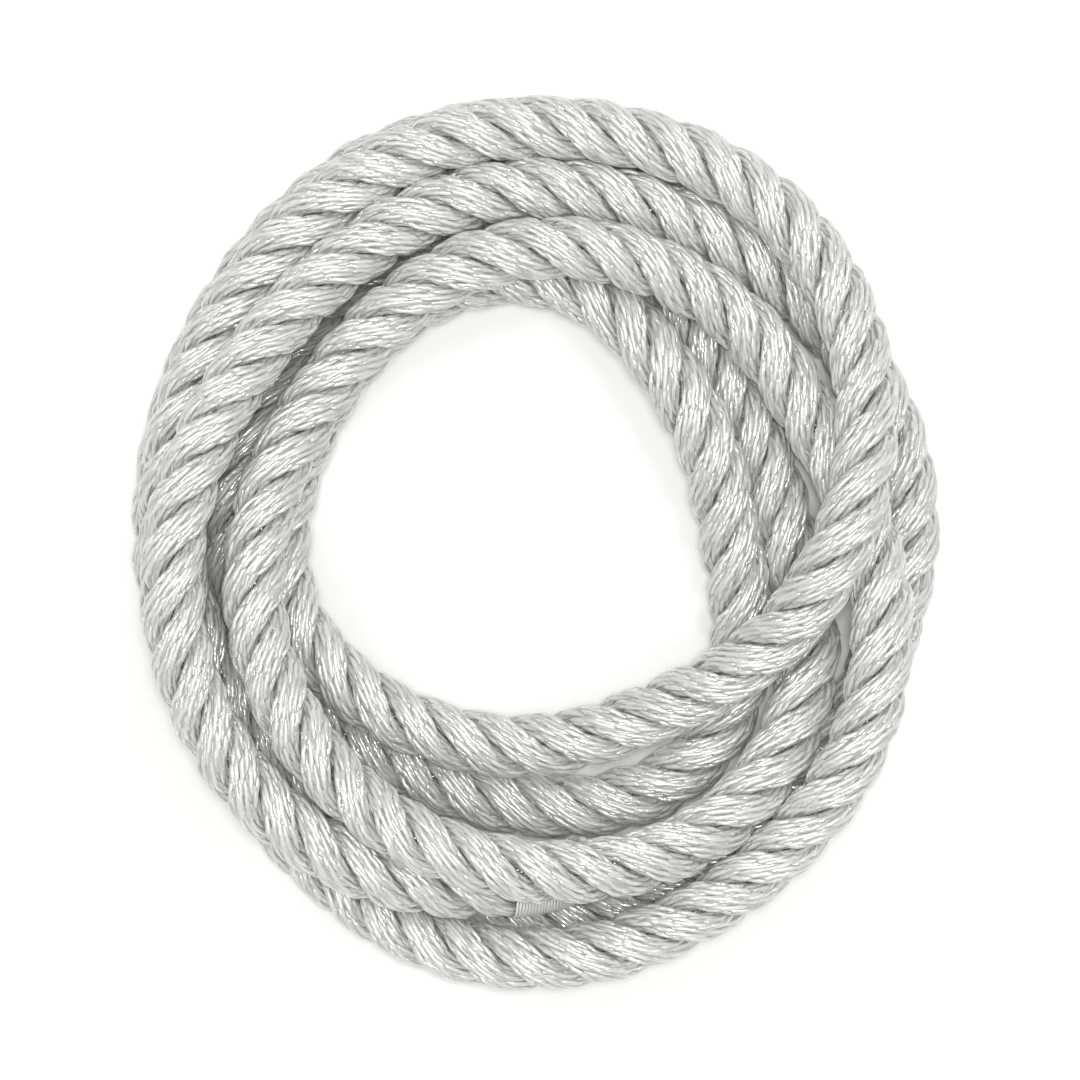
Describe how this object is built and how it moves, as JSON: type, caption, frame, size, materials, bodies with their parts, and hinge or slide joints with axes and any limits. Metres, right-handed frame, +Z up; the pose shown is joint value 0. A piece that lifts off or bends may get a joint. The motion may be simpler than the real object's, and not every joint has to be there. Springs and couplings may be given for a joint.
{
  "type": "coiled dock line",
  "caption": "Three-strand laid nylon dock line wound into a flat, overlapping round coil with an open middle, ready to tie up a small sailing boat.",
  "frame": {"origin": "on the surface the coil lies on, in the middle of the space it takes up, inside its round opening", "axes": "+Z up through the coil's opening, +X and +Y across the coil"},
  "size_m": [0.1621, 0.1784, 0.0377],
  "materials": {
    "white_nylon": "silky twisted filament yarn, bright white",
    "whipping_twine": "waxed white twine",
    "melted_nylon": "melted and set, slightly yellowed"
  },
  "bodies": {
    "root": {"strand_a_cover": "white_nylon", "strand_b_cover": "white_nylon", "strand_c_cover": "white_nylon", "strand_a_core": "white_nylon", "strand_b_core": "white_nylon", "strand_c_core": "white_nylon", "start_whipping": "whipping_twine", "end_whipping": "whipping_twine", "start_sealed_tip": "melted_nylon", "end_sealed_tip": "melted_nylon"}
  },
  "joints": []
}
